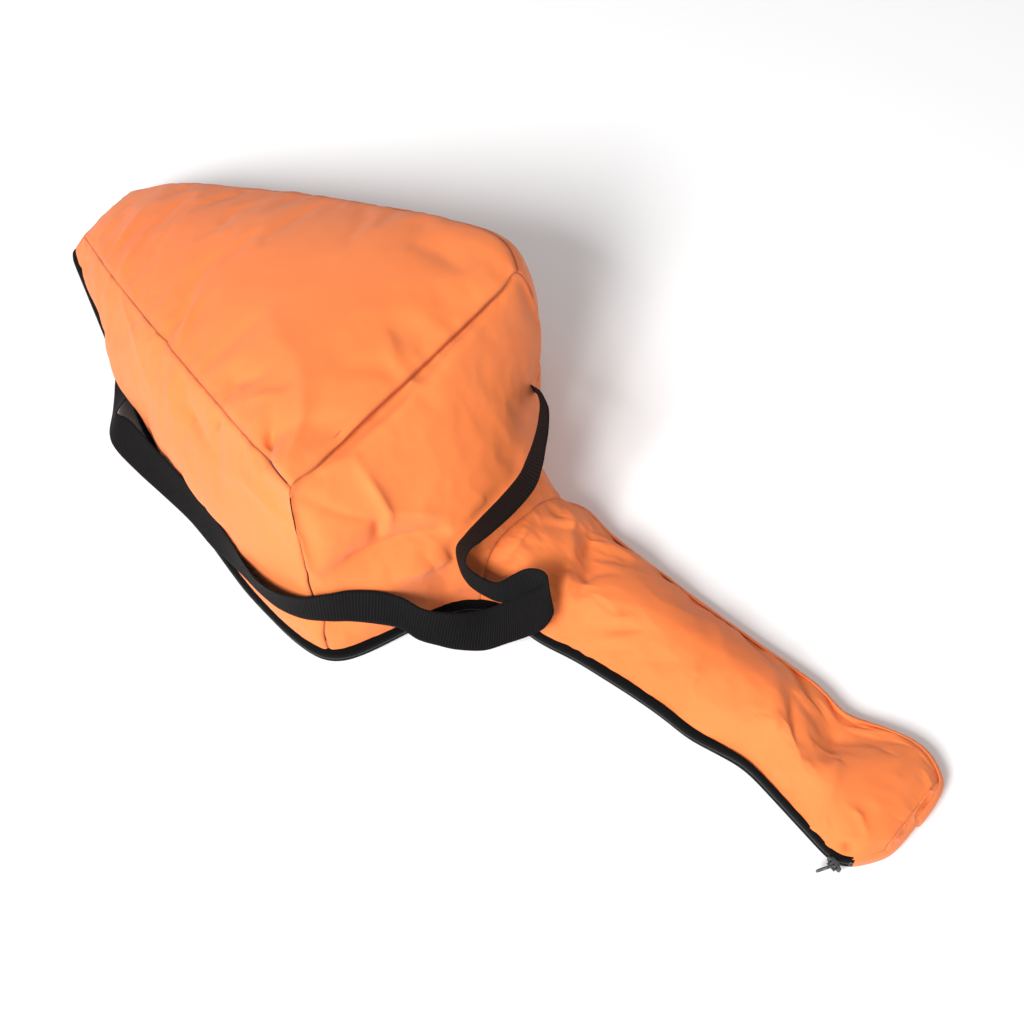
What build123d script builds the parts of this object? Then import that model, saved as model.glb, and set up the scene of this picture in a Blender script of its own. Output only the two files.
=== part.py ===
from build123d import *
import os

# Zip-up carry bag for a chainsaw: a wedge-shaped body for the engine and a long
# flat sleeve for the guide bar, lying on its flat back. Millimetres, +Z up,
# +X towards the sleeve's tip, -Y towards the zipped side. The origin is on the
# outer face of the back, under the widest part of the body.

os.makedirs("parts", exist_ok=True)

CLOTH = 1.2          # lined Oxford cloth
BACK = 1.5           # back panel, lined and stiffened
BAND = 22.0          # height of the zip band above the floor
COIL_GAP = 0.4       # split between the two coils of the zip
COIL = 2.4           # height of one coil
COIL_OUT = 1.6       # how far the coils stand out of the tape
TAPE = 1.0           # zip tape
TAPE_SPLIT = 1.0     # gap between the tapes, under the coils
ZIP_Z = (BACK + BAND) / 2
HAIR = 0.01          # so that cuts pass clear of the faces they end on

REAR_X = -480.0
FRONT_X = 0.0        # the two front corners of the body
RIDGE_X = -52.0      # the fold between the crown and the front
MOUTH_X = 58.0       # where the sleeve is sewn to the front
TIP_X = 452.0
WIDE = 400.0         # longer than any cut across the bag
ZIP_FAR_END_X = -240.0
ZIP_TIP_X = 430.0

# Cross sections: x, near edge y, far edge y, near seam y, far seam y, top z
STATIONS = [
    (REAR_X, -36, 54, -26, 46, 46),
    (-375, -84, 100, -58, 84, 92),
    (-270, -134, 140, -92, 112, 134),
    (-100, -188, 182, -142, 132, 188),
    (RIDGE_X, -190, 158, -154, 120, 200),
    (FRONT_X, -180, 104, -116, 84, 146),
    (MOUTH_X, -78, 54, -68, 44, 84),
    (100, -62, 56, -50, 46, 62),
    (200, -47, 59, -36, 48, 52),
    (330, -40, 62, -30, 50, 42),
    (375, -49, 56, -38, 46, 38),
    (ZIP_TIP_X, -60, 56, -46, 42, 34),
    (TIP_X, -42, 44, -32, 36, 30),
]
near_line = [(s[0], s[1]) for s in STATIONS]
far_line = [(s[0], s[2]) for s in STATIONS]


def outer_corners(station):
    x, near, far, seam_near, seam_far, top = station
    return [(near, BAND), (seam_near, top), (seam_far, top), (far, BAND)]


def inner_corners(station):
    x, near, far, seam_near, seam_far, top = station
    return [
        (near + CLOTH, BAND),
        (seam_near + CLOTH, top - CLOTH),
        (seam_far - CLOTH, top - CLOTH),
        (far - CLOTH, BAND),
    ]


def wall_strip(first_x, last_x, edge):
    """One side of the shell between two of its corner lines; edge 0, 1 or 2."""
    with BuildPart() as strip:
        for station in STATIONS:
            if first_x <= station[0] <= last_x:
                out = outer_corners(station)
                inside = inner_corners(station)
                with BuildSketch(Plane.YZ.offset(station[0])):
                    with BuildLine():
                        Polyline(out[edge], out[edge + 1], inside[edge + 1], inside[edge], close=True)
                    make_face()
        loft(ruled=True)
    return strip.part


def far_hem(first_x, last_x):
    """The far wall below the zip's level, where there is no zip."""
    points = [(first_x, far_y(first_x))] + [p for p in far_line if first_x < p[0] <= last_x]
    with BuildPart() as hem:
        for x, y in points:
            with BuildSketch(Plane.YZ.offset(x)):
                with BuildLine():
                    Polyline((y - CLOTH, BACK), (y, BACK), (y, BAND), (y - CLOTH, BAND), close=True)
                make_face()
        loft(ruled=True)
    return hem.part


def far_y(x):
    for (x0, y0), (x1, y1) in zip(far_line, far_line[1:]):
        if x0 <= x <= x1:
            return y0 + (y1 - y0) * (x - x0) / (x1 - x0)


def near_y(x):
    for (x0, y0), (x1, y1) in zip(near_line, near_line[1:]):
        if x0 <= x <= x1:
            return y0 + (y1 - y0) * (x - x0) / (x1 - x0)


def save(piece, name):
    piece.part.label = name
    export_step(piece.part, f"parts/{name}.step")


# Planes of the two slanted seams that close the body at the front: through the
# ridge's end and the front corner below it, square to the wall.
def corner_plane(seam_y, foot_y, top_z):
    ridge_end = Vector(RIDGE_X, seam_y, top_z)
    foot = Vector(FRONT_X, foot_y, BAND)
    inside = Vector(RIDGE_X, 0, BAND)
    along = (foot - ridge_end).normalized()
    inward = (inside - ridge_end).normalized()
    normal = along.cross(inward)
    if normal.X < 0:
        normal = normal * -1
    return Plane(origin=ridge_end, z_dir=normal)


ridge = STATIONS[4]
front = STATIONS[5]
near_corner = corner_plane(ridge[3], front[1], ridge[5])
far_corner = corner_plane(ridge[4], front[2], ridge[5])

# ---------------------------------------------------------------- cloth panels
with BuildPart() as crown:
    add(wall_strip(REAR_X, RIDGE_X, 1))
save(crown, "crown_panel")

with BuildPart() as near_side:
    add(wall_strip(REAR_X, FRONT_X, 0))
    split(bisect_by=near_corner, keep=Keep.BOTTOM)
save(near_side, "near_side_panel")

with BuildPart() as far_side:
    add(wall_strip(REAR_X, FRONT_X, 2))
    split(bisect_by=far_corner, keep=Keep.BOTTOM)
    add(far_hem(ZIP_FAR_END_X, FRONT_X))
save(far_side, "far_side_panel")

with BuildPart() as front_near:
    add(wall_strip(RIDGE_X, MOUTH_X, 0))
    split(bisect_by=near_corner, keep=Keep.TOP)
with BuildPart() as front_far:
    add(wall_strip(RIDGE_X, MOUTH_X, 2))
    split(bisect_by=far_corner, keep=Keep.TOP)
    add(far_hem(FRONT_X, MOUTH_X))
with BuildPart() as front_wall:
    add(wall_strip(RIDGE_X, MOUTH_X, 1))
    add(front_near.part)
    add(front_far.part)
save(front_wall, "front_panel")

with BuildPart() as sleeve_top:
    for edge in range(3):
        add(wall_strip(MOUTH_X, TIP_X, edge))
    add(far_hem(MOUTH_X, TIP_X))
save(sleeve_top, "sleeve_top_panel")


def end_plate(station, x, low):
    """Flat end wall of the shell, from a given height to its top."""
    points = outer_corners(station)
    if low < BAND:
        points = [(points[0][0], low)] + points + [(points[-1][0], low)]
    with BuildPart() as plate:
        with BuildSketch(Plane.YZ.offset(x)):
            with BuildLine():
                Polyline(*points, close=True)
            make_face()
        extrude(amount=CLOTH)
    return plate


save(end_plate(STATIONS[0], REAR_X - CLOTH, BAND), "rear_panel")
save(end_plate(STATIONS[-1], TIP_X, BACK), "sleeve_tip_panel")


def back_plate(first_x, last_x):
    """Flat sheet under the whole outline, from one station to another."""
    near = [p for p in near_line if first_x <= p[0] <= last_x]
    far = [p for p in far_line if first_x <= p[0] <= last_x]
    with BuildPart() as plate:
        with BuildSketch():
            with BuildLine():
                Polyline(*near, *far[::-1], close=True)
            make_face()
        extrude(amount=BACK)
    return plate


save(back_plate(REAR_X, MOUTH_X), "back_panel")
save(back_plate(MOUTH_X, TIP_X), "sleeve_back_panel")

# ------------------------------------------------------------------------- zip
# The rear wall stands one cloth behind the first station. The run is closed
# along the middle of the bag, and that side is cut off again.
zip_outline = [(REAR_X - CLOTH, near_line[0][1])] + near_line[:-1]
zip_outline += [(ZIP_TIP_X, 0), (ZIP_FAR_END_X, 0), (ZIP_FAR_END_X, far_y(ZIP_FAR_END_X))]
zip_outline += [p for p in far_line[::-1] if p[0] < ZIP_FAR_END_X]
zip_outline += [(REAR_X - CLOTH, far_line[0][1])]


def zip_band(low, high, outward, inward):
    """The zip's run between two heights, from the sleeve's tip round the rear."""
    height = high - low
    clear = outward + HAIR
    with BuildPart() as band:
        with BuildSketch(Plane.XY.offset(low)):
            with BuildLine():
                Polyline(*zip_outline, close=True)
            make_face()
            if outward > 0:
                offset(amount=outward, kind=Kind.INTERSECTION)
        extrude(amount=height)
        with BuildSketch(Plane.XY.offset(low)):
            with BuildLine():
                Polyline(*zip_outline, close=True)
            make_face()
            if inward > 0:
                offset(amount=-inward, kind=Kind.INTERSECTION)
        extrude(amount=height, mode=Mode.SUBTRACT)
        # The outline's closing sides carry no zip: past the tip, and the far side.
        with BuildSketch(Plane.XY.offset(low)):
            with Locations((ZIP_FAR_END_X - inward - HAIR, -CLOTH)):
                Rectangle(2 * TIP_X, WIDE, align=(Align.MIN, Align.MIN))
            with Locations((ZIP_TIP_X - inward - clear, -WIDE)):
                Rectangle(WIDE, 2 * WIDE, align=(Align.MIN, Align.MIN))
        extrude(amount=height, mode=Mode.SUBTRACT)
    return band


save(zip_band(BACK, ZIP_Z - TAPE_SPLIT / 2, 0, TAPE), "zip_tape_lower")
save(zip_band(ZIP_Z + TAPE_SPLIT / 2, BAND, 0, TAPE), "zip_tape_upper")
save(zip_band(ZIP_Z - COIL_GAP / 2 - COIL, ZIP_Z - COIL_GAP / 2, COIL_OUT, 0), "zip_coil_lower")
save(zip_band(ZIP_Z + COIL_GAP / 2, ZIP_Z + COIL_GAP / 2 + COIL, COIL_OUT, 0), "zip_coil_upper")

# The wall between the last zip stop and the tip, below the band.
with BuildPart() as sleeve_corner:
    for station in STATIONS[-2:]:
        x, y = station[0], station[1]
        with BuildSketch(Plane.YZ.offset(x)):
            with BuildLine():
                Polyline((y, BACK), (y + CLOTH, BACK), (y + CLOTH, BAND), (y, BAND), close=True)
            make_face()
    loft(ruled=True)
save(sleeve_corner, "zip_end_gusset")

# The slider's own plane: centred on the split, x towards the tip, z outward. The
# zip is straight there, so the slider runs along x.
SLIDER_X = 420.0
RUN_FROM = STATIONS[9]
RUN_TO = STATIONS[11]
run = Vector(RUN_TO[0] - RUN_FROM[0], RUN_TO[1] - RUN_FROM[1], 0).normalized()
outward = Vector(run.Y, -run.X, 0)
slider_centre = Vector(SLIDER_X, near_y(SLIDER_X), ZIP_Z)
slider_plane = Plane(origin=slider_centre, x_dir=run, z_dir=outward)

SLIDER_LONG = 14.0
SLIDER_WIDE = 9.6
SLIDER_PLATE = 1.5
SLIDER_ROUND = 2.6
SLIDER_EDGE = 0.5
RAIL = 1.0           # side rails that reach down past the coils
RAIL_SHORT = 5.0     # how much shorter the rails are than the plate
RUN_GAP = 0.3
plate_low = COIL_OUT + RUN_GAP
plate_top = plate_low + SLIDER_PLATE
BAIL_HIGH = 3.2
BAIL_LONG = 8.0
BAIL_WIDE = 2.4
BAIL_WIRE = 1.2
PIN_UP = plate_top + 1.0

with BuildPart() as slider:
    with BuildSketch(slider_plane.offset(plate_low)):
        RectangleRounded(SLIDER_LONG, SLIDER_WIDE, SLIDER_ROUND)
    extrude(amount=SLIDER_PLATE)
    fillet(slider.faces().sort_by(Axis(slider_centre, outward))[-1].edges(), SLIDER_EDGE)
    with BuildSketch(slider_plane.offset(RUN_GAP)):
        for side in (-1, 1):
            with Locations((0, side * (SLIDER_WIDE - RAIL) / 2)):
                Rectangle(SLIDER_LONG - RAIL_SHORT, RAIL)
    extrude(amount=plate_low - RUN_GAP)
    with BuildSketch(slider_plane.offset(plate_top)):
        Rectangle(BAIL_LONG, BAIL_WIDE)
    extrude(amount=BAIL_HIGH)
    with BuildSketch(slider_plane.offset(plate_top)):
        Rectangle(BAIL_LONG - 2 * BAIL_WIRE, BAIL_WIDE)
    extrude(amount=BAIL_HIGH - BAIL_WIRE, mode=Mode.SUBTRACT)
save(slider, "zip_slider")

# The pull hangs in the bail on its cross bar, which lies across the run, so the
# pull swings from the tip side to the body side.
PULL_LONG = 14.0
PULL_WIDE = 6.4
PULL_THICK = 1.2
PULL_TURN = 110.0    # pull direction at rest, from the run's direction
pin_centre = slider_centre + outward * PIN_UP
pull_dir = run.rotate(Axis.Z, -PULL_TURN)
pull_side = Vector(-pull_dir.Y, pull_dir.X, 0)
pull_plane = Plane(origin=pin_centre, x_dir=pull_dir, z_dir=pull_side)
EYE_FROM = 0.7       # the pull's end bar reaches this far either side of the pin
EYE_LONG = 4.4
EYE_PLAY = 1.2       # how much wider the eye is than the bail
EYE_ROUND = 0.9
GRIP_LONG = 4.4      # slot in the pull's free end
GRIP_WIDE = 2.2
GRIP_IN = 3.6        # the slot's middle, from the free end

with BuildPart() as pull:
    with BuildSketch(pull_plane.offset(-PULL_THICK / 2)):
        with Locations(((PULL_LONG - EYE_FROM) / 2, 0)):
            RectangleRounded(PULL_LONG + EYE_FROM, PULL_WIDE, SLIDER_ROUND)
        with Locations((EYE_FROM + EYE_LONG / 2, 0)):
            RectangleRounded(EYE_LONG, BAIL_WIDE + EYE_PLAY, EYE_ROUND, mode=Mode.SUBTRACT)
        with Locations((PULL_LONG - GRIP_IN, 0)):
            SlotOverall(GRIP_LONG, GRIP_WIDE, mode=Mode.SUBTRACT)
    extrude(amount=PULL_THICK)
save(pull, "zip_pull")

# ----------------------------------------------------------------- zip stops
STOP_LONG = 3.0
STOP_HIGH = 2.0
STOP_OUT = 1.6
STOP_ROUND = 0.6
STOP_FROM_END = 3.5  # from the zip's end to a stop's middle
TOP_STOP_UP = 2.6    # each top stop above or below the split


def stop_at(x, y, along, zs):
    """Small metal crimps on the tape, at the given heights."""
    face = Vector(along.Y, -along.X, 0)
    with BuildPart() as crimps:
        for z in zs:
            with BuildSketch(Plane(origin=(x, y, z), x_dir=along, z_dir=face)):
                RectangleRounded(STOP_LONG, STOP_HIGH, STOP_ROUND)
            extrude(amount=STOP_OUT)
    return crimps


top_x = ZIP_TIP_X + STOP_FROM_END
tip_dir = Vector(TIP_X - ZIP_TIP_X, near_y(TIP_X) - near_y(ZIP_TIP_X), 0).normalized()
stops = stop_at(top_x, near_y(top_x), tip_dir, (ZIP_Z - TOP_STOP_UP, ZIP_Z + TOP_STOP_UP))
save(stops, "zip_top_stops")

bottom_x = ZIP_FAR_END_X + STOP_FROM_END
far_from, far_to = far_line[3], far_line[2]
far_dir = Vector(far_to[0] - far_from[0], far_to[1] - far_from[1], 0).normalized()
bottom = stop_at(bottom_x, far_y(bottom_x), far_dir, (ZIP_Z,))
save(bottom, "zip_bottom_stop")

# ---------------------------------------------------------------- carry strap
STRAP_WIDE = 38.0
STRAP_THICK = 1.5
# Lower edge of the webbing, and the direction across its width
STRAP_ROUTE = [
    ((-351, -102, 3), (0.50, -0.16, 0.85)),
    ((-342, -114, 5), (0.50, -0.16, 0.85)),
    ((-326, -130, 7), (0.42, -0.22, 0.87)),
    ((-310, -146, 5), (0.30, 0.20, 0.90)),
    ((-293, -154, 5), (0.18, 0.50, 0.84)),
    ((-260, -160, 5), (0.18, 0.46, 0.86)),
    ((-228, -164, 5), (0.28, 0.38, 0.88)),
    ((-188, -171, 12), (0.36, 0.28, 0.87)),
    ((-147, -178, 25), (0.36, 0.18, 0.90)),
    ((-124, -182, 36), (0.34, 0.06, 0.93)),
    ((-98, -187, 46), (0.28, -0.06, 0.95)),
    ((-73, -190, 50), (0.16, -0.10, 0.97)),
    ((-51, -191, 50), (0.08, -0.06, 0.98)),
    ((-30, -186, 50), (0.00, 0.00, 1.00)),
    ((-10, -176, 50), (-0.08, 0.10, 0.99)),
    ((5, -164, 48), (-0.13, 0.20, 0.97)),
    ((21, -148, 42), (-0.12, 0.28, 0.95)),
    ((33, -134, 32), (-0.08, 0.26, 0.96)),
    ((45, -127, 20), (-0.06, 0.30, 0.95)),
    ((57, -117, 12), (-0.08, 0.38, 0.92)),
    ((71, -108, 8), (-0.18, 0.48, 0.86)),
    ((89, -94, 8), (-0.36, 0.56, 0.74)),
    ((104, -84, 20), (-0.44, 0.50, 0.75)),
    ((118, -72, 36), (-0.50, 0.48, 0.72)),
    ((127, -66, 50), (-0.46, 0.40, 0.78)),
    ((127, -56, 60), (-0.36, 0.22, 0.90)),
    ((116, -52, 66), (-0.24, 0.00, 0.97)),
    ((103, -58, 66), (-0.16, 0.00, 0.99)),
    ((93, -66, 60), (-0.12, 0.00, 0.99)),
    ((82, -74, 56), (-0.02, -0.06, 1.00)),
    ((69, -80, 58), (0.08, -0.07, 0.99)),
    ((59, -86, 68), (0.16, -0.08, 0.98)),
    ((55, -90, 86), (0.30, -0.14, 0.95)),
    ((53, -83, 106), (0.56, -0.16, 0.81)),
    ((42, -57, 104), (0.64, -0.22, 0.73)),
    ((42, -42, 107), (0.68, -0.28, 0.68)),
    ((42, -14, 109), (0.70, -0.35, 0.62)),
    ((42, 8, 112), (0.70, -0.32, 0.64)),
    ((40, 20, 119), (0.64, -0.26, 0.72)),
    ((36, 33, 125), (0.58, -0.30, 0.75)),
    ((30, 46, 129), (0.56, -0.34, 0.75)),
    ((21, 60, 132), (0.52, -0.36, 0.77)),
    ((14, 78, 134), (0.42, -0.30, 0.85)),
    ((4, 91, 124), (0.22, -0.16, 0.95)),
    ((-9, 103, 114), (0.00, 0.00, 1.00)),
]


def strap_planes(rear_end, front_end):
    """One plane per station, square to the run of the webbing."""
    middles = [Vector(*p) + Vector(*w).normalized() * (STRAP_WIDE / 2) for p, w in STRAP_ROUTE]
    run_points = [rear_end] + middles + [front_end]
    planes = []
    for (point, width), before, middle, after in zip(STRAP_ROUTE, run_points, middles, run_points[2:]):
        along = (after - before).normalized()
        across = Vector(*width)
        across = (across - along * across.dot(along)).normalized()
        planes.append(Plane(origin=middle, x_dir=across, z_dir=along))
    return planes


def webbing_corners(plane):
    """The webbing's four corners at a station."""
    half, thin = plane.x_dir * (STRAP_WIDE / 2), plane.y_dir * (STRAP_THICK / 2)
    middle = plane.origin
    return [middle - half - thin, middle + half - thin, middle + half + thin, middle - half + thin]


def webbing_run(stations):
    """The webbing through a row of stations: four ruled faces from each to the next."""
    rows = [webbing_corners(plane) for plane in stations]
    faces = [Face(Wire.make_polygon(rows[0])), Face(Wire.make_polygon(rows[-1]))]
    for row, further in zip(rows, rows[1:]):
        for k in range(4):
            n = (k + 1) % 4
            here = Edge.make_line(row[k], row[n])
            there = Edge.make_line(further[k], further[n])
            faces.append(Face.make_surface_from_curves(here, there))
    return Solid(Shell(faces))


# The rear end is sewn in between the back and the zip's lower tape.
seam_from, seam_to = near_line[1], near_line[2]
seam_dir = Vector(seam_to[0] - seam_from[0], seam_to[1] - seam_from[1], 0).normalized()
seam_out = Vector(seam_dir.Y, -seam_dir.X, 0)
ROOT_X = -351.0
ROOT_TAB = 12.0      # the flat stretch before the webbing turns on its edge
RUN_IN = (-362, -96, 20)   # where the webbing's middle comes from, before its first station
rear_root = Plane(
    origin=(ROOT_X, near_y(ROOT_X), BACK + STRAP_THICK / 2), x_dir=seam_dir, z_dir=seam_out
)
# The front end is sewn into the far corner seam, below the ridge.
ridge_end = Vector(RIDGE_X, ridge[4], ridge[5])
corner_foot = Vector(FRONT_X, front[2], BAND)
corner_dir = (ridge_end - corner_foot).normalized()
ROOT_DOWN = 82.0
STRAP_OFF = 2.6
corner_out = Vector(0.95, 0.30, 0)
corner_out = (corner_out - corner_dir * corner_out.dot(corner_dir)).normalized()
front_root = Plane(
    origin=ridge_end - corner_dir * ROOT_DOWN + corner_out * STRAP_OFF,
    x_dir=corner_dir,
    z_dir=corner_out * -1,
)

strap_stations = strap_planes(Vector(*RUN_IN), front_root.origin) + [front_root]
with BuildPart() as strap:
    with BuildSketch(rear_root):
        Rectangle(STRAP_WIDE, STRAP_THICK)
    extrude(amount=ROOT_TAB)
    add(webbing_run(strap_stations))
save(strap, "carry_strap")
strap_length = sum((b.origin - a.origin).length for a, b in zip(strap_stations, strap_stations[1:]))
print("strap length", round(strap_length))

# Bar tacks: the dense rows of thread that hold the strap's two ends
TACK_ROWS = 3
TACK_THICK = 0.5
TACK_LONG = 1.2
TACK_PITCH = 3.0
TACK_SHORT = 14.0    # how much shorter the rows are than the webbing is wide
TACK_OFF = -6.0      # the rows' middle, off the webbing's
with BuildPart() as rear_tack:
    for i in range(TACK_ROWS):
        with BuildSketch(rear_root.offset(TACK_LONG + i * TACK_PITCH)):
            with Locations((TACK_OFF, -(STRAP_THICK + TACK_THICK) / 2)):
                Rectangle(STRAP_WIDE - TACK_SHORT, TACK_THICK)
        extrude(amount=TACK_LONG)
save(rear_tack, "strap_bar_tack_rear")

# ------------------------------------------------ seam allowances, bound inside
BINDING = 9.0
BINDING_THICK = 1.4
BINDING_GAP = 0.4
SEAM_DEEP = 4.0      # the bindings start this far under the seams
LONG_FROM = 4.0      # a long binding stops this far short of its seam's rear end
LONG_TO = 6.0        # and this far short of its front end
CROSS_SHORT = 6.0    # a cross binding stops this far short of both ends
RIDGE_SHORT = 8.0
CROSS_BACK = 3.0     # cross bindings hang this far behind their seam
CORNER_FROM = 16.0   # a corner binding starts this far under the ridge
CORNER_TO = 160.0
CORNER_IN = 12.0     # and hangs this far inside the seam


def long_binding(side, first_x, last_x):
    """Bound edges hanging inside under one of the crown's long seams."""
    with BuildPart() as strip:
        for station in STATIONS:
            if first_x <= station[0] <= last_x:
                x, near, far, seam_near, seam_far, top = station
                seam = seam_near if side < 0 else seam_far
                x = min(max(x, first_x + LONG_FROM), last_x - LONG_TO)
                middle = seam - side * (CLOTH + BINDING_GAP + BINDING_THICK)
                with BuildSketch(Plane.YZ.offset(x)):
                    with Locations((middle, top - CLOTH - BINDING_GAP - SEAM_DEEP - BINDING / 2)):
                        Rectangle(BINDING_THICK, BINDING)
        loft(ruled=True)
    return strip


save(long_binding(-1, REAR_X, RIDGE_X), "seam_binding_near")
save(long_binding(1, REAR_X, RIDGE_X), "seam_binding_far")


def cross_binding(x, near, far, top):
    """Bound edges hanging inside under a seam that runs across the bag."""
    with BuildPart() as strip:
        with BuildSketch(Plane.YZ.offset(x)):
            with Locations(((near + far) / 2, top - BINDING / 2)):
                Rectangle(far - near, BINDING)
        extrude(amount=BINDING_THICK)
    return strip


ridge_strip = cross_binding(
    RIDGE_X - CROSS_BACK, ridge[3] + RIDGE_SHORT, ridge[4] - RIDGE_SHORT, ridge[5] - SEAM_DEEP
)
save(ridge_strip, "seam_binding_ridge")
rear = STATIONS[0]
rear_strip = cross_binding(
    REAR_X + BINDING_GAP, rear[3] + CROSS_SHORT, rear[4] - CROSS_SHORT, rear[5] - SEAM_DEEP
)
save(rear_strip, "seam_binding_rear")
mouth = STATIONS[6]
mouth_strip = cross_binding(
    MOUTH_X - CROSS_BACK, mouth[3] + CROSS_SHORT, mouth[4] - CROSS_SHORT, mouth[5] - SEAM_DEEP
)
save(mouth_strip, "seam_binding_mouth")


def corner_binding(seam_y, foot_y):
    """Bound edges inside one of the slanted corner seams of the front."""
    inward = -1 if seam_y > 0 else 1
    with BuildPart() as strip:
        for down in (CORNER_FROM, CORNER_TO):
            share = down / (ridge[5] - BAND)
            x = RIDGE_X + (FRONT_X - RIDGE_X) * share
            y = seam_y + (foot_y - seam_y) * share
            with BuildSketch(Plane.XY.offset(ridge[5] - down)):
                with Locations((x - CORNER_IN, y + inward * CORNER_IN)):
                    Rectangle(BINDING, BINDING_THICK, rotation=-45 * inward)
        loft(ruled=True)
    return strip


save(corner_binding(ridge[3], front[1]), "seam_binding_front_near")
save(corner_binding(ridge[4], front[2]), "seam_binding_front_far")
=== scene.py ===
import math

import bmesh
import bpy
import numpy as np
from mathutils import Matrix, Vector, noise
from mathutils.kdtree import KDTree


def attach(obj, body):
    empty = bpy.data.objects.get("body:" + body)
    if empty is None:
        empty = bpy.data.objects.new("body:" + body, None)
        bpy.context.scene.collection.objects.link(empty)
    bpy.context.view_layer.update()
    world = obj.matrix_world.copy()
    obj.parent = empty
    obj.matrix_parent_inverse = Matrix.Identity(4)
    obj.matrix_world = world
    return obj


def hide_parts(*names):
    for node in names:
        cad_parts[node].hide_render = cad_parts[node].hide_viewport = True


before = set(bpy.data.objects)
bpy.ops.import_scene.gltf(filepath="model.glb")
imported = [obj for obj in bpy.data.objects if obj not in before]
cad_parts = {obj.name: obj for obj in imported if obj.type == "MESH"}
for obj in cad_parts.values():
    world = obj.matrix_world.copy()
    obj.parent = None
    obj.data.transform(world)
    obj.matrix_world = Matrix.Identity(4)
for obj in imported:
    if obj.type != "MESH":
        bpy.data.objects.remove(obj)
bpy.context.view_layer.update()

MM = 0.001
scene = bpy.context.scene

# ---------------------------------------------------------------- camera, light and floor

AIM = Vector((0.04, 0.0, 0.06))
AZIMUTH, ELEVATION, DISTANCE, LENS = math.radians(40), math.radians(60), 1.46, 61.0
toward = Vector((math.sin(AZIMUTH) * math.cos(ELEVATION), -math.cos(AZIMUTH) * math.cos(ELEVATION), math.sin(ELEVATION)))
camera = bpy.data.objects.new("camera", bpy.data.cameras.new("camera"))
scene.collection.objects.link(camera)
camera.location = AIM + toward * DISTANCE
camera.rotation_mode = "QUATERNION"
camera.rotation_quaternion = (-toward).to_track_quat("-Z", "Y")
camera.data.sensor_width = 36
camera.data.lens = LENS
camera.data.clip_start, camera.data.clip_end = 0.02, 50
camera.data.dof.use_dof = False
scene.camera = camera
scene.view_settings.view_transform = "Standard"
scene.view_settings.look = "None"

right = Vector((math.cos(AZIMUTH), math.sin(AZIMUTH), 0))
upward = Vector((0, 0, 1))


def lamp(name, place, size, power):
    """A soft square light that looks at the bag."""
    light = bpy.data.lights.new(name, "AREA")
    light.size, light.energy = size, power
    light_object = bpy.data.objects.new(name, light)
    scene.collection.objects.link(light_object)
    light_object.location = place
    light_object.rotation_mode = "QUATERNION"
    light_object.rotation_quaternion = (AIM - Vector(place)).to_track_quat("-Z", "Y")


ahead = Vector((-math.sin(AZIMUTH), math.cos(AZIMUTH), 0))
lamp("key", AIM + Vector((0.08, -0.74, 0.66)) * 3.2, 1.3, 148)
lamp("fill", AIM + right * 1.7 - ahead * 0.3 + upward * 1.6, 1.8, 4)

world = bpy.data.worlds.new("studio")
scene.world = world
world.use_nodes = True
world.node_tree.nodes["Background"].inputs["Color"].default_value = (1.0, 1.0, 1.0, 1)
world.node_tree.nodes["Background"].inputs["Strength"].default_value = 0.46

# ---------------------------------------------------------------- materials


class Nodes:
    """Short names for building a material's node tree."""

    def __init__(self, name):
        self.material = bpy.data.materials.new(name)
        self.material.use_nodes = True
        self.tree = self.material.node_tree
        self.shader = self.tree.nodes["Principled BSDF"]

    def put(self, value, socket):
        if isinstance(value, bpy.types.NodeSocket):
            self.tree.links.new(value, socket)
        else:
            socket.default_value = value

    def add(self, kind, out=0, **inputs):
        node = self.tree.nodes.new(kind)
        for key, value in inputs.items():
            if hasattr(node, key):
                setattr(node, key, value)
            else:
                self.put(value, node.inputs[key.replace("_", " ")])
        return node.outputs[out]

    def math(self, operation, a, b=0.0):
        node = self.tree.nodes.new("ShaderNodeMath")
        node.operation = operation
        self.put(a, node.inputs[0])
        self.put(b, node.inputs[1])
        return node.outputs[0]

    def noise(self, where, scale, detail=3.0, rough=0.5):
        return self.add("ShaderNodeTexNoise", Vector=where, Scale=scale, Detail=detail, Roughness=rough)

    def ramp(self, value, low, high, to_low, to_high):
        node = self.tree.nodes.new("ShaderNodeMapRange")
        for socket, v in zip(node.inputs, (value, low, high, to_low, to_high)):
            self.put(v, socket)
        return node.outputs[0]

    def mix(self, factor, a, b):
        node = self.tree.nodes.new("ShaderNodeMix")
        node.data_type = "RGBA"
        self.put(factor, node.inputs[0])
        self.put(a, node.inputs[6])
        self.put(b, node.inputs[7])
        return node.outputs[2]

    def bump(self, height, distance, normal=None, strength=1.0):
        node = self.tree.nodes.new("ShaderNodeBump")
        self.put(height, node.inputs["Height"])
        node.inputs["Distance"].default_value = distance
        node.inputs["Strength"].default_value = strength
        if normal is not None:
            self.put(normal, node.inputs["Normal"])
        return node.outputs[0]

    def finish(self, **sockets):
        for key, value in sockets.items():
            self.put(value, self.shader.inputs[key.replace("_", " ")])
        return self.material


def rgb(r, g, b):
    return (r, g, b, 1.0)


def plain_weave(n, u, v, pitch):
    """Height of a plain weave: threads that pass over and under each other, 0 to 1."""
    a = n.math("DIVIDE", u, pitch)
    b = n.math("DIVIDE", v, pitch)
    parity = n.math("MODULO", n.math("ABSOLUTE", n.math("ADD", n.math("FLOOR", a), n.math("FLOOR", b))), 2.0)
    warp = n.math("SINE", n.math("MULTIPLY", n.math("FRACT", a), math.pi))
    weft = n.math("SINE", n.math("MULTIPLY", n.math("FRACT", b), math.pi))
    over = n.math("MULTIPLY", warp, parity)
    under = n.math("MULTIPLY", weft, n.math("SUBTRACT", 1.0, parity))
    return n.math("ADD", over, under)


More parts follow.
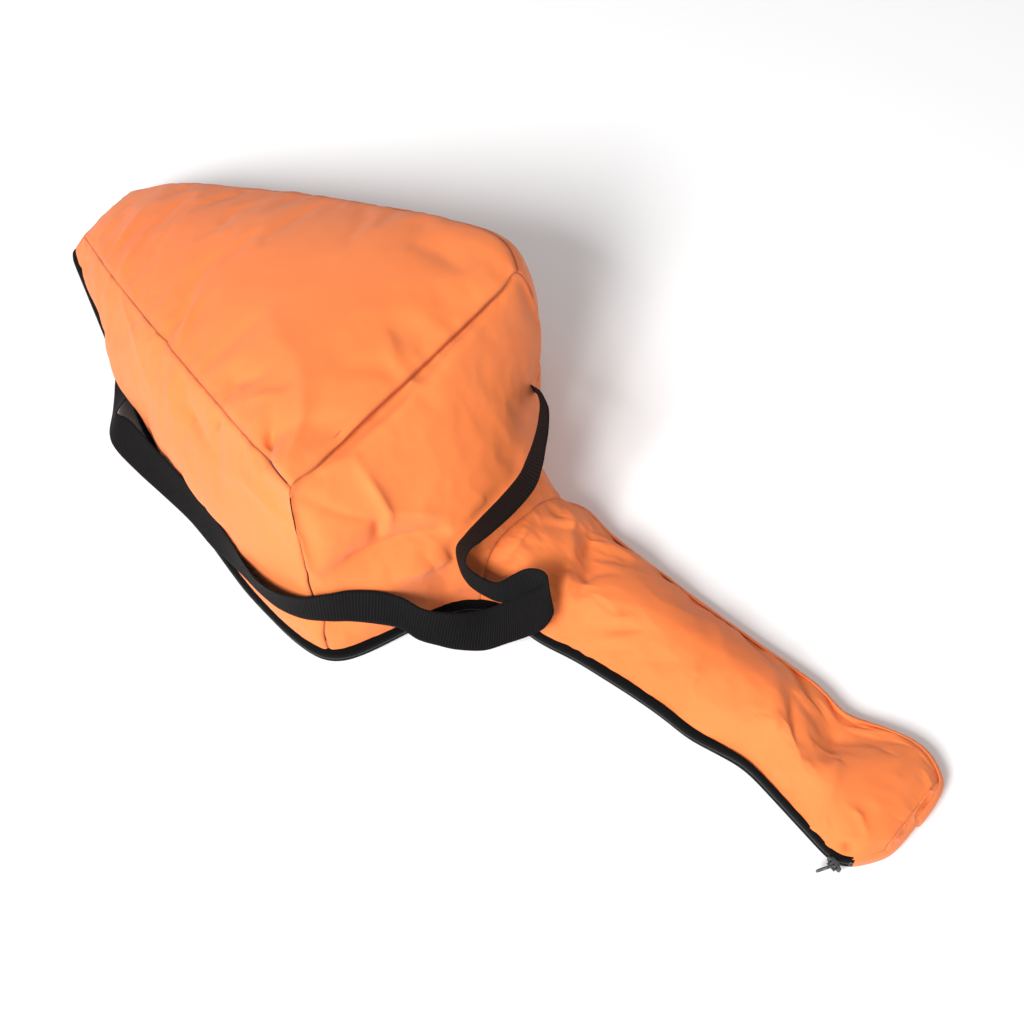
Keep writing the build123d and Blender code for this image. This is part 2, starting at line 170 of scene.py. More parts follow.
def cloth_material(name, light, dark, painted_shade, pitch=0.0009):
    n = Nodes(name)
    uv = n.add("ShaderNodeUVMap")
    where = n.add("ShaderNodeTexCoord", out=3)
    split = n.tree.nodes.new("ShaderNodeSeparateXYZ")
    n.put(uv, split.inputs[0])
    wobble = n.math("MULTIPLY", n.math("SUBTRACT", n.noise(where, 60.0, 2.0), 0.5), 0.0006)
    weave = plain_weave(n, n.math("ADD", split.outputs[0], wobble), n.math("ADD", split.outputs[1], wobble), pitch)
    slub = n.noise(n.add("ShaderNodeMapping", Vector=uv, Scale=(30.0, 900.0, 1.0)), 1.0, 2.0)
    broad = n.noise(where, 7.0, 3.0)
    crumple = n.noise(where, 38.0, 4.0, 0.55)
    # painted shade in the seam grooves: a point attribute that split_panel sets
    edge = n.add("ShaderNodeAttribute", out=2, attribute_name="painted_seam_shade")
    colour = n.mix(n.ramp(broad, 0.3, 0.7, 0.0, 1.0), light, dark)
    # painted shade in the weave's gaps, where the threads pass under
    colour = n.mix(n.math("MULTIPLY", n.math("SUBTRACT", 1.0, weave), 0.10), colour, painted_shade)
    colour = n.mix(n.math("MULTIPLY", slub, 0.10), colour, dark)
    # painted shade along the seam grooves, mixed in by that attribute
    colour = n.mix(n.math("MULTIPLY", edge, 0.55), colour, painted_shade)
    normal = n.bump(crumple, 0.0012, strength=0.35)
    normal = n.bump(weave, 0.00014, normal, strength=0.8)
    rough = n.ramp(n.math("ADD", broad, n.math("MULTIPLY", weave, 0.2)), 0.3, 0.9, 0.60, 0.78)
    return n.finish(Base_Color=colour, Roughness=rough, Normal=normal, Sheen_Weight=0.12, Sheen_Roughness=0.45, Specular_IOR_Level=0.32)


def webbing_material(name, base, pale, pitch, rib=None):
    """Narrow woven tape: fine yarns across and along, painted highlight on the raised yarns and rib crests, and
    dusty high spots.
    """
    n = Nodes(name)
    uv = n.add("ShaderNodeUVMap")
    where = n.add("ShaderNodeTexCoord", out=3)
    split = n.tree.nodes.new("ShaderNodeSeparateXYZ")
    n.put(uv, split.inputs[0])
    yarn = plain_weave(n, split.outputs[0], split.outputs[1], pitch)
    fluff = n.noise(where, 900.0, 2.0, 0.7)
    broad = n.noise(where, 22.0, 3.0)
    # painted highlight: the raised yarns are paler
    colour = n.mix(n.math("MULTIPLY", yarn, 0.55), base, pale)
    if rib:
        # painted highlight on the rib crests, in step with the ribs of the strap's shape
        painted_crest_highlight = n.math("COSINE", n.math("MULTIPLY", split.outputs[0], 2 * math.pi / rib))
        colour = n.mix(n.ramp(painted_crest_highlight, 0.0, 1.0, 0.0, 0.8), colour, tuple(c * 2.2 for c in pale[:3]) + (1.0,))
    colour = n.mix(n.ramp(fluff, 0.52, 0.8, 0.0, 0.45), colour, pale)
    colour = n.mix(n.ramp(broad, 0.35, 0.7, 0.0, 0.25), colour, base)
    normal = n.bump(yarn, 0.00022, strength=0.9)
    normal = n.bump(fluff, 0.00012, normal, strength=0.5)
    rough = n.ramp(fluff, 0.3, 0.8, 0.72, 0.92)
    return n.finish(Base_Color=colour, Roughness=rough, Normal=normal, Sheen_Weight=0.01, Sheen_Roughness=0.5, Specular_IOR_Level=0.08)


def hard_material(name, base, worn, metallic, low, high, sharp=0.53):
    """Metal or nylon: a little brushed, paler where edges have rubbed."""
    n = Nodes(name)
    where = n.add("ShaderNodeTexCoord", out=3)
    grain = n.noise(where, 420.0, 4.0, 0.6)
    broad = n.noise(where, 55.0, 3.0)
    edges = n.ramp(n.add("ShaderNodeNewGeometry", out=7), 0.5, sharp, 0.0, 0.8)
    colour = n.mix(n.math("MULTIPLY", edges, n.ramp(grain, 0.35, 0.6, 0.3, 1.0)), base, worn)
    colour = n.mix(n.ramp(broad, 0.4, 0.75, 0.0, 0.3), colour, base)
    rough = n.ramp(grain, 0.3, 0.7, low, high)
    normal = n.bump(grain, 0.00006, strength=0.6)
    return n.finish(Base_Color=colour, Roughness=rough, Normal=normal, Metallic=metallic, Specular_IOR_Level=0.5)


# the third orange is a painted shade colour, for the seam grooves and the weave's gaps
ORANGE = cloth_material("orange_oxford", rgb(0.89, 0.225, 0.056), rgb(0.85, 0.190, 0.042), rgb(0.34, 0.045, 0.010))
WEBBING = webbing_material("black_webbing_weave", rgb(0.0010, 0.0009, 0.0010), rgb(0.0062, 0.0056, 0.0060), 0.0013, 0.0025)
TAPE = webbing_material("zip_tape_weave", rgb(0.0012, 0.0011, 0.0012), rgb(0.0045, 0.0042, 0.0045), 0.0006)
# a dark red-brown tape: where it shows in the seam grooves it partly stands in for their shade
BINDING = webbing_material("binding_weave", rgb(0.020, 0.006, 0.004), rgb(0.045, 0.014, 0.008), 0.0007)
NYLON = hard_material("coil_nylon", rgb(0.008, 0.008, 0.009), rgb(0.03, 0.03, 0.032), 0.0, 0.34, 0.5, 0.6)
METAL = hard_material("black_enamelled_metal", rgb(0.010, 0.010, 0.011), rgb(0.10, 0.097, 0.094), 0.35, 0.30, 0.48)
THREAD_ORANGE = webbing_material("orange_thread", rgb(0.80, 0.22, 0.05), rgb(0.95, 0.33, 0.10), 0.0003)
THREAD_BLACK = webbing_material("black_thread_twist", rgb(0.014, 0.014, 0.015), rgb(0.06, 0.06, 0.06), 0.0003)


def floor_material():
    n = Nodes("pale_floor")
    where = n.add("ShaderNodeTexCoord", out=3)
    mottle = n.noise(where, 3.0, 4.0)
    colour = n.mix(mottle, rgb(0.88, 0.88, 0.88), rgb(0.91, 0.91, 0.91))
    return n.finish(Base_Color=colour, Roughness=0.9, Specular_IOR_Level=0.1)


# ---------------------------------------------------------------- mesh helpers


def mesh_object(name, points, faces, material, uvs=None, smooth=True):
    mesh = bpy.data.meshes.new(name)
    mesh.from_pydata([tuple(p) for p in points], [], [tuple(f) for f in faces])
    mesh.materials.append(material)
    if uvs is not None:
        layer = mesh.uv_layers.new(name="weave")
        corner = np.empty(len(mesh.loops), dtype=np.int32)
        mesh.loops.foreach_get("vertex_index", corner)
        layer.data.foreach_set("uv", np.asarray(uvs, dtype=np.float32)[corner].ravel())
    mesh.polygons.foreach_set("use_smooth", [smooth] * len(mesh.polygons))
    made = bpy.data.objects.new(name, mesh)
    scene.collection.objects.link(made)
    return made


def coords(mesh):
    out = np.empty(len(mesh.vertices) * 3, dtype=np.float32)
    mesh.vertices.foreach_get("co", out)
    return out.reshape(-1, 3).astype(np.float64)


def set_coords(mesh, points):
    mesh.vertices.foreach_set("co", np.asarray(points, dtype=np.float32).ravel())
    mesh.update()


def normals(mesh):
    out = np.empty(len(mesh.vertices) * 3, dtype=np.float32)
    mesh.vertex_normals.foreach_get("vector", out)
    return out.reshape(-1, 3).astype(np.float64)


def apply_modifiers(made):
    graph = bpy.context.evaluated_depsgraph_get()
    mesh = bpy.data.meshes.new_from_object(made.evaluated_get(graph), depsgraph=graph)
    old = made.data
    made.modifiers.clear()
    made.data = mesh
    mesh.name = made.name
    bpy.data.meshes.remove(old)
    return made


def thicken(made, thickness, offset=-1.0):
    """Gives a sheet its cloth thickness, inwards unless offset says otherwise."""
    m = made.modifiers.new("thickness", "SOLIDIFY")
    m.thickness, m.offset, m.use_even_offset = thickness, offset, False
    return apply_modifiers(made)


def smooth_line(line, times, hold, closed=False):
    """Evens out a row of points; hold is each point's share of the movement."""
    line = line.copy()
    hold = np.asarray(hold)[:, None]
    for _ in range(times):
        before, after = np.roll(line, 1, axis=0), np.roll(line, -1, axis=0)
        moved = line + hold * 0.5 * ((before + after) / 2 - line) * 2
        if not closed:
            moved[0], moved[-1] = line[0], line[-1]
        line = moved
    return line


def unit(v):
    return v / np.maximum(np.linalg.norm(v, axis=-1, keepdims=True), 1e-12)


def ease(x):
    x = np.clip(x, 0.0, 1.0)
    return x * x * (3 - 2 * x)


def hump(x, middle, half):
    """A smooth bump, 1 at the middle and 0 beyond half to either side."""
    return ease(1 - np.abs(x - middle) / half)


# ---------------------------------------------------------------- the bag's shell

HEM = 18.0
# The four lines that every row of the shell hangs on, x, y, z in mm, from the rear to the tip.
NEAR_LOW = (
    (-477, -31, HEM), (-375, -80, HEM), (-270, -131, HEM), (-160, -166, HEM), (-100, -181, HEM), (-52, -187, HEM),
    (-18, -188.5, HEM), (5, -181.5, HEM), (24, -124, HEM), (41, -84, HEM), (58, -66, HEM), (76, -56, HEM),
    (95, -55, HEM), (118, -57, HEM), (145, -50, HEM), (200, -45, HEM), (240, -43, HEM), (265, -45, HEM),
    (294, -41, HEM), (318, -37.6, HEM), (375, -49, HEM), (424, -59, HEM), (434, -50, HEM), (440, -42, HEM),
    (445, -30, HEM),
)
NEAR_TOP = (
    (-466, -22, 44), (-375, -58, 92), (-270, -92, 134), (-100, -142, 188), (-52, -154, 200), (58, -58, 84),
    (76, -46, 80), (100, -44, 74), (145, -34, 66), (200, -30, 61), (262, -29, 56), (294, -27, 54), (330, -24, 52),
    (356, -29, 48), (375, -34, 46), (405, -42, 44), (430, -42, 39), (445, -24, 31),
)
FAR_TOP = (
    (-470, 44, 46), (-430, 70, 68), (-375, 82, 92), (-270, 110, 134), (-160, 132, 177), (-100, 143, 193),
    (-72, 140, 197), (-52, 120, 200), (58, 22, 80), (76, 32, 66), (100, 38, 48), (145, 40, 40), (200, 40, 36),
    (262, 41, 34), (294, 42, 33), (330, 42, 32), (356, 33, 30), (375, 42, 33), (405, 46, 34), (430, 46, 31), (445, 38, 28),
)
FAR_LOW = (
    (-472, 47, HEM), (-430, 82, HEM), (-375, 99, HEM), (-270, 136, HEM), (-160, 165, HEM), (-100, 172, HEM),
    (-52, 148, HEM), (0, 80, HEM), (26, 47, HEM), (42, 47, HEM), (58, 58, HEM), (74, 64, HEM), (90, 57, HEM), (105, 54, HEM),
    (145, 54, HEM), (200, 52, HEM), (262, 52, HEM), (294, 53, HEM), (330, 53, HEM), (356, 43, HEM), (374, 53, HEM),
    (400, 62, HEM), (420, 64, HEM), (434, 60, HEM), (445, 50, HEM),
)
REAR_X, RIDGE_X, FRONT_X, MOUTH_X, TIP_X = -477.0, -52.0, 0.0, 58.0, 445.0
WALL, TOP = 24, 44
AROUND = 2 * WALL + TOP
BODY_ROWS, FRONT_ROWS, SLEEVE_ROWS = 96, 30, 90
RIDGE_ROW, MOUTH_ROW = BODY_ROWS, BODY_ROWS + FRONT_ROWS
LAST_ROW = MOUTH_ROW + SLEEVE_ROWS
CROWN, NEAR, FAR, FRONT, REAR, SLEEVE, TIP = range(7)


def track(line, body_end):
    """One of the four lines, smoothed, as a point for every row."""
    line = np.array(line, dtype=float)
    x, rear = line[:, 0], line[0, 0]
    place = np.where(
        x <= body_end,
        (x - rear) / (body_end - rear) * RIDGE_ROW,
        np.where(
            x < MOUTH_X,
            RIDGE_ROW + (x - body_end) / (MOUTH_X - body_end) * FRONT_ROWS,
            MOUTH_ROW + (x - MOUTH_X) / (TIP_X - MOUTH_X) * SLEEVE_ROWS,
        ),
    )
    rows = np.arange(LAST_ROW + 1)
    line = np.stack([np.interp(rows, place, line[:, k]) for k in range(3)], axis=1)
    hold = np.ones(len(rows))
    hold[MOUTH_ROW:] = 0.35
    if body_end == RIDGE_X:
        hold[RIDGE_ROW] = 0
    return smooth_line(line, 14, hold)


near_low, near_top = track(NEAR_LOW, FRONT_X), track(NEAR_TOP, RIDGE_X)
far_top, far_low = track(FAR_TOP, RIDGE_X), track(FAR_LOW, FRONT_X)

section = np.zeros((LAST_ROW + 1, AROUND + 1, 3))
for r in range(LAST_ROW + 1):
    body = min(1.0, r / RIDGE_ROW)
    front = np.clip((r - RIDGE_ROW) / FRONT_ROWS, 0, 1)
    for first, last, start, stop in (
        (0, WALL, near_low[r], near_top[r]),
        (WALL, WALL + TOP, near_top[r], far_top[r]),
        (WALL + TOP, AROUND, far_top[r], far_low[r]),
    ):
        w = np.linspace(0, 1, last - first + 1)[:, None]
        section[r, first:last + 1] = start + (stop - start) * w
    wall_bulge = 4 + 8 * math.sin(math.pi * min(1, body)) ** 0.7 if r <= RIDGE_ROW else 6 * (1 - front)
    top_bulge = (3 + 11 * math.sin(math.pi * body ** 0.8)) if r < RIDGE_ROW else 5 * math.sin(math.pi * front)
    w = np.linspace(0, 1, WALL + 1)
    swell = np.sin(math.pi * w) * wall_bulge
    out_near = unit(np.cross(near_top[r] - near_low[r], [1.0, 0, 0]))
    out_far = unit(np.cross([1.0, 0, 0], far_top[r] - far_low[r]))
    section[r, :WALL + 1] += -np.sign(out_near[1]) * out_near * swell[:, None]
    shoulder = 14 * hump(far_top[r, 0], -60, 90) * np.sin(math.pi * w ** 1.7)
    section[r, WALL + TOP:] += np.sign(out_far[1]) * out_far * (swell + shoulder)[::-1, None]
    w = np.linspace(-1, 1, TOP + 1)
    if r < RIDGE_ROW:
        section[r, WALL:WALL + TOP + 1, 2] += (1 - w * w) * top_bulge
    # the near wall's lower edge hangs over the zip towards the rear
    overhang = 11 * hump(near_low[r, 0], -330, 70)
    height = np.linspace(0, 1, WALL + 1)
    section[r, :WALL + 1, 1] -= overhang * np.exp(-((height - 0.16) / 0.16) ** 2) * (height > 0)

# soften: the sleeve and the front's lower part have no seams along them, so they turn into domes
soft = np.zeros(LAST_ROW + 1)
soft[RIDGE_ROW + 1:MOUTH_ROW + 1] = ease(np.linspace(0.02, 1, FRONT_ROWS)) * 0.9
soft[MOUTH_ROW + 1:] = 1.0
soft[-6:] = np.linspace(0.9, 0.25, 6)
for _ in range(150):
    mean = (section[:, :-2] + section[:, 2:]) / 2 - section[:, 1:-1]
    section[:, 1:-1] += soft[:, None, None] * mean * 0.9
for _ in range(3):
    section[:, 1:-1] += ((section[:, :-2] + section[:, 2:]) / 2 - section[:, 1:-1]) * 0.8


def end_patch(row, push):
    """The short upright end of the bag: a patch between the last row and the zip line."""
    ring = section[row]
    left, top, right_side = ring[:WALL + 1], ring[WALL:WALL + TOP + 1], ring[WALL + TOP:][::-1]
    w = np.linspace(0, 1, TOP + 1)[:, None]
    bottom = ring[0] + (ring[-1] - ring[0]) * w
    bottom[:, 0] += push * (1 - (2 * w[:, 0] - 1) ** 4)
    s = np.linspace(0, 1, WALL + 1)[:, None, None]
    t = w[None]
    patch = (1 - s) * bottom[None] + s * top[None] + (1 - t) * left[:, None] + t * right_side[:, None]
    patch -= (1 - s) * (1 - t) * ring[0] + (1 - s) * t * ring[-1] + s * (1 - t) * top[0] + s * t * top[-1]
    swell = np.sin(math.pi * s[..., 0]) * (1 - (2 * t[..., 0] - 1) ** 2)
    patch[..., 0] += push * 0.5 * swell
    return patch


rear_patch, tip_patch = end_patch(0, -2.0), end_patch(LAST_ROW, 5.0)

points, uvs, faces, panel_of = [], [], [], []


def add_grid(grid, u, v, pick, flip):
    base = len(points)
    rows, columns = grid.shape[:2]
    for r in range(rows):
        for c in range(columns):
            points.append(grid[r, c] * MM)
            uvs.append((u[r, c], v[r, c]))
    for r in range(rows - 1):
        for c in range(columns - 1):
            a = base + r * columns + c
            quad = (a, a + 1, a + columns + 1, a + columns)
            faces.append(quad[::-1] if flip else quad)
            panel_of.append(pick(r, c))


def pick_panel(r, c):
    if r >= MOUTH_ROW:
        return SLEEVE
    if r >= RIDGE_ROW:
        return FRONT
    return NEAR if c < WALL else CROWN if c < WALL + TOP else FAR


run = np.zeros(section.shape[:2])
run[1:] = np.cumsum(np.linalg.norm(np.diff(section, axis=0), axis=2).mean(axis=1))[:, None] * MM
girth = np.zeros(section.shape[:2])
girth[:, 1:] = np.cumsum(np.linalg.norm(np.diff(section, axis=1), axis=2), axis=1) * MM
girth -= girth[:, AROUND // 2:AROUND // 2 + 1]
add_grid(section, run, girth, pick_panel, True)
for patch, kind, flip in ((rear_patch, REAR, False), (tip_patch, TIP, True)):
    add_grid(patch, patch[..., 1] * MM, patch[..., 2] * MM + kind, lambda r, c, kind=kind: kind, flip)

shell = mesh_object("shell", points, faces, ORANGE, uvs)
for kind in range(1, 7):
    shell.data.materials.append(ORANGE)
shell.data.polygons.foreach_set("material_index", panel_of)
bm = bmesh.new()
bm.from_mesh(shell.data)
bmesh.ops.remove_doubles(bm, verts=bm.verts, dist=0.00002)
bmesh.ops.dissolve_degenerate(bm, edges=bm.edges, dist=0.00001)
bmesh.ops.recalc_face_normals(bm, faces=bm.faces)
if sum(f.normal.z * f.calc_area() for f in bm.faces) < 0:
    bmesh.ops.reverse_faces(bm, faces=bm.faces)
bm.to_mesh(shell.data)
bm.free()


def seam_points(mesh):
    """Which points lie on a seam between two panels, and which on the open lower edge."""
    kinds = [set() for _ in mesh.vertices]
    count = {}
    for face in mesh.polygons:
        for v in face.vertices:
            kinds[v].add(face.material_index)
        for key in face.edge_keys:
            count[key] = count.get(key, 0) + 1
    edge = np.zeros(len(kinds), dtype=bool)
    for key, times in count.items():
        if times == 1:
            edge[list(key)] = True
    return np.array([len(k) > 1 for k in kinds]), edge


SIM_FRAMES, SIM_CAP = 24, 0.013


def puff(made):
    """Fills the bag: its seams and lower edge are held while the cloth, a little long, is blown out."""
    seam, edge = seam_points(made.data)
    held = made.vertex_groups.new(name="held")
    held.add([int(i) for i in np.nonzero(edge)[0]], 1.0, "REPLACE")
    held.add([int(i) for i in np.nonzero(seam & ~edge)[0]], 0.9, "REPLACE")
    cloth = made.modifiers.new("cloth", "CLOTH")
    s = cloth.settings
    s.quality, s.mass, s.air_damping = 6, 0.3, 3
    s.tension_stiffness = s.compression_stiffness = 25
    s.shear_stiffness, s.bending_stiffness = 12, 1.2
    s.use_pressure, s.uniform_pressure_force = True, 3.0
    s.shrink_min = -0.016
    s.vertex_group_mass, s.pin_stiffness = "held", 1.0
    s.effector_weights.gravity = 0.0
    cloth.collision_settings.use_collision = False
    cloth.point_cache.frame_start, cloth.point_cache.frame_end = 1, SIM_FRAMES
    start = coords(made.data)
    for f in range(1, SIM_FRAMES + 1):
        scene.frame_set(f)
    graph = bpy.context.evaluated_depsgraph_get()
    end = coords(made.evaluated_get(graph).to_mesh())
    made.modifiers.clear()
    scene.frame_set(1)
    move = end - start
    size = np.linalg.norm(move, axis=1, keepdims=True)
    move *= np.minimum(1.0, SIM_CAP / np.maximum(size, 1e-9))
    set_coords(made.data, start + move)


puff(shell)

m = shell.modifiers.new("finer", "SUBSURF")
m.levels = m.render_levels = 1
m.boundary_smooth = "PRESERVE_CORNERS"
apply_modifiers(shell)

# ---------------------------------------------------------------- the carry strap's line

# lower edge point in mm and the direction of the strap's width
STRAP = (
    (-358, -93, 3, .72, .10, .68), (-347, -105, 3, .72, .06, .69), (-338, -114, 4, .70, .02, .71),
    (-325, -128, 5, .55, -.12, .82),
    (-310, -146, 5, .30, .20, .90), (-293, -154, 5, .18, .50, .84), (-260, -158, 5, .18, .46, .86),
    (-228, -160, 5, .28, .38, .88), (-188, -165, 12, .36, .28, .87), (-147, -175, 25, .36, .18, .90),
    (-124, -179, 36, .34, .06, .93), (-98, -184, 46, .28, -.06, .95), (-73, -188, 50, .16, -.10, .97),
    (-51, -188, 50, .08, -.06, .98), (-30, -182, 50, .0, .0, 1.0), (-12, -170, 50, -.08, .10, .99),
    (1, -158, 48, -.13, .20, .97), (17, -144, 42, -.12, .28, .95), (30, -132, 32, -.08, .26, .96),
    (44, -126, 20, -.06, .30, .95), (57, -117, 12, -.08, .38, .92), (71, -108, 8, -.18, .48, .86),
    (89, -94, 8, -.36, .56, .74), (104, -80, 20, -.44, .50, .75), (118, -70, 36, -.50, .48, .72),
    (127, -62, 50, -.46, .40, .78), (127, -52, 60, -.36, .22, .90), (116, -45, 64, -.24, .0, .97),
    (103, -50, 60, -.16, .0, .99), (93, -58, 50, -.12, .0, .99), (82, -64, 41, -.02, -.06, 1.0),
    (69, -69, 43, .08, -.07, .99), (56, -74, 54, .16, -.08, .98), (46, -74, 69, .30, -.14, .95),
    (37, -68, 88, .56, -.16, .81), (38, -57, 98, .64, -.22, .73), (39, -42, 102, .68, -.28, .68),
    (40, -14, 105, .70, -.35, .62), (40, 8, 110, .70, -.32, .64), (38, 20, 118, .64, -.26, .72),
    (34, 33, 124, .58, -.30, .75), (28, 46, 128, .56, -.34, .75), (19, 60, 131, .52, -.36, .77),
    (10, 70, 122, .44, -.36, .82), (0, 80, 108, .36, -.36, .86), (-12, 88, 92, .30, -.36, .88),
    (-22, 94, 80, .26, -.36, .90),
)
STRAP_WIDE, STRAP_THICK, RIB = 38 * MM, 1.5 * MM, 2.5 * MM


def spline(knots, step):
    """A smooth line through knots (Catmull-Rom), sampled at an even spacing of its first three numbers."""
    knots = np.asarray(knots, dtype=float)
    ghost = np.vstack([2 * knots[0] - knots[1], knots, 2 * knots[-1] - knots[-2]])
    fine = []
    for k in range(1, len(ghost) - 2):
        a, b, c, d = ghost[k - 1:k + 3]
        for t in np.linspace(0, 1, 40, endpoint=False):
            fine.append(0.5 * (2 * b + (c - a) * t + (2 * a - 5 * b + 4 * c - d) * t * t + (3 * b - 3 * c + d - a) * t ** 3))
    fine.append(ghost[-2])
    fine = np.array(fine)
    run = np.concatenate([[0], np.cumsum(np.linalg.norm(np.diff(fine[:, :3], axis=0), axis=1))])
    even = np.arange(0, run[-1], step)
    return np.stack([np.interp(even, run, fine[:, k]) for k in range(fine.shape[1])], axis=1), even


knots = np.array(STRAP, dtype=float)
knots[:, :3] *= MM
samples, strap_run = spline(knots, RIB / 4)
low_edge, wide_dir = samples[:, :3], unit(samples[:, 3:])
top_edge = low_edge + wide_dir * STRAP_WIDE
middle = (low_edge + top_edge) / 2
travel = unit(np.gradient(middle, axis=0))
face_dir = unit(np.cross(travel, wide_dir))

# ---------------------------------------------------------------- creases and dents
# Each line is a fold: points in mm, half width in mm, height in mm (negative is a valley).
FOLDS = (
    # crown
    (((-202, -21, 169), (-157, -53, 180), (-131, -59, 186), (-109, -73, 191), (-90, -96, 194), (-78, -118, 195), (-66, -141, 196)), 9, 5),
    (((-82, -144, 185), (-98, -129, 189), (-112, -106, 187)), 8, -6),
    (((-141, -109, 178), (-129, -98, 183), (-114, -91, 188)), 6, 3),
    (((-162, -116, 168), (-167, -100, 171), (-146, -85, 180)), 10, -4),
    (((-139, 11, 188), (-112, 7, 194), (-84, -5, 199), (-61, -21, 202)), 6, 3),
    (((-122, -27, 191), (-86, -53, 197)), 14, -3),
    (((-261, -95, 132), (-266, -71, 140), (-270, -45, 143)), 8, -4),
    (((-246, -92, 143), (-255, -69, 145), (-266, -41, 145)), 5, 2.5),
    (((-400, -44, 80), (-403, -19, 85), (-415, 24, 82)), 6, 3),
    (((-370, -56, 94), (-378, -20, 99)), 4, 1.5),
    (((-139, 82, 187), (-114, 91, 192), (-78, 87, 198)), 20, -4),
    # near side
    (((-224, -110, 140), (-209, -125, 126), (-180, -135, 129), (-159, -141, 134)), 6, -5),
    (((-265, -91, 134), (-259, -105, 122), (-260, -119, 96)), 5, -3),
    (((-237, -111, 129), (-226, -124, 115), (-209, -134, 106)), 5, 2.5),
    (((-348, -72, 96), (-301, -95, 103), (-262, -118, 97)), 5, 2),
    (((-140, -149, 128), (-101, -152, 155), (-76, -158, 159), (-53, -162, 159)), 6, 3.5),
    (((-163, -127, 158), (-157, -133, 152)), 4, -4),
    (((-94, -142, 182), (-88, -149, 176)), 4, -3),
    # front
    (((-49, -144, 194), (-46, -126, 192), (-39, -97, 186), (-40, -37, 187), (-40, 18, 188), (-43, 59, 190)), 7, 3),
    (((-49, -111, 196), (-46, -74, 193), (-45, -36, 192), (-45, 12, 192)), 7, -5),
    (((-39, -97, 186), (-20, -98, 165), (-4, -99, 142), (5, -110, 114)), 6, 3.5),
    (((-6, -109, 140), (2, -114, 117)), 8, -6),
    (((-47, -152, 187), (-34, -141, 173), (-19, -126, 153), (-9, -113, 142)), 5, -2.5),
    (((-21, -167, 103), (-7, -138, 111), (8, -107, 113), (21, -80, 109), (30, -63, 106)), 14, -9),
    (((-3, -96, 140), (10, -78, 129), (25, -59, 115)), 5, 2),
    (((-28, 19, 174), (-10, 20, 155), (9, 22, 133), (22, 25, 116)), 5, 2),
    (((5, -134, 79), (7, -119, 96), (11, -107, 104)), 4, 2),
    (((11, -119, 83), (28, -89, 83), (39, -74, 79)), 16, 5),
    # sleeve
    (((79, 32, 55), (103, 4, 62), (121, -28, 60)), 8, 5),
    (((97, 37, 43), (121, 4, 56), (134, -28, 57)), 10, -4.5),
    (((57, 17, 84), (66, -11, 82), (70, -45, 70)), 5, 3),
    (((61, -4, 84), (61, -34, 83), (52, -58, 78)), 6, -2.5),
    (((62, 20, 74), (73, 23, 66), (81, 29, 57)), 8, -2.5),
    (((139, -41, 43), (162, -34, 48), (188, -14, 53)), 4, -3.5),
    (((131, -41, 47), (157, -28, 54), (181, -5, 52)), 5, 2.5),
    (((166, -38, 40), (186, -25, 52)), 5, 2.5),
    (((163, -47, 23), (204, -33, 43), (230, -16, 50)), 7, -2.5),
    (((218, -18, 51), (214, 0, 49), (212, 26, 40)), 5, 2.5),
    (((250, -32, 41), (246, -17, 49), (239, 6, 46)), 5, 2),
    (((232, 33, 36), (247, 18, 42), (260, 10, 44)), 6, 3),
    (((289, 31, 35), (307, 10, 42), (325, -11, 45), (341, -23, 42)), 9, 4),
    (((310, 28, 36), (328, 5, 43), (345, -13, 43)), 9, -6),
    (((314, -40, 20), (333, -36, 27), (353, -32, 36)), 5, 4),
    (((346, -40, 24), (365, -43, 24)), 8, -3),
    (((374, 4, 39), (384, -20, 41), (393, -40, 34), (406, -53, 22)), 6, 2.5),
    (((362, 40, 25), (362, 21, 34), (365, 5, 39)), 9, -7),
    (((418, -46, 29), (424, -51, 22)), 5, -5),
    (((429, -34, 33), (414, -25, 38), (401, -26, 39)), 6, 2),
)


FOLD_GAIN, CRUMPLE = 1.7, 1.3
# how deep the puckers are along each seam, in mm
PUCKERS = {(CROWN, NEAR): 1.7, (CROWN, FAR): 0.3, (CROWN, FRONT): 1.1, (NEAR, FRONT): 2.2, (FRONT, SLEEVE): 2.0}


def line_distance(at, line):
    """Distance to a line of points, and how far along it the nearest place is, 0 to 1."""
    line = np.asarray(line, dtype=float) * MM
    step = np.linalg.norm(np.diff(line, axis=0), axis=1)
    total, done = step.sum(), 0.0
    best = np.full(len(at), 1e9)
    along = np.zeros(len(at))
    for a, b, length in zip(line[:-1], line[1:], step):
        t = np.clip(((at - a) @ (b - a)) / length ** 2, 0, 1)
        d = np.linalg.norm(at - (a + t[:, None] * (b - a)), axis=1)
        closer = d < best
        best[closer] = d[closer]
        along[closer] = ((done + t * length) / total)[closer]
        done += length
    return best, along


def seam_line(mesh, first, second):
    """The points that two panels share, in order along the seam."""
    kinds = {}
    for face in mesh.polygons:
        for v in face.vertices:
            kinds.setdefault(v, set()).add(face.material_index)
    shared = [v for v, k in kinds.items() if first in k and second in k]
    axis = SEAM_AXIS[(first, second)]
    shared.sort(key=lambda v: mesh.vertices[v].co[axis])
    return shared


# the two panels of every seam, and the axis that it runs along
SEAM_AXIS = {
    (CROWN, NEAR): 0, (CROWN, FAR): 0, (CROWN, FRONT): 1, (CROWN, REAR): 1, (FRONT, SLEEVE): 1,
    (NEAR, FRONT): 2, (FAR, FRONT): 2,
}
seams = {pair: seam_line(shell.data, *pair) for pair in SEAM_AXIS}

at = coords(shell.data)
out = normals(shell.data)
lift = np.zeros(len(at))
for line, half, height in FOLDS:
    distance, along = line_distance(at, line)
    sharp = np.sqrt((distance / (half * MM)) ** 2 + 0.02) - 0.02 ** 0.5
    ends = np.sin(math.pi * np.clip(along * 0.92 + 0.04, 0, 1)) ** 0.7
    lift += FOLD_GAIN * height * MM * np.exp(-1.5 * sharp) * ends * (distance < 3 * half * MM)

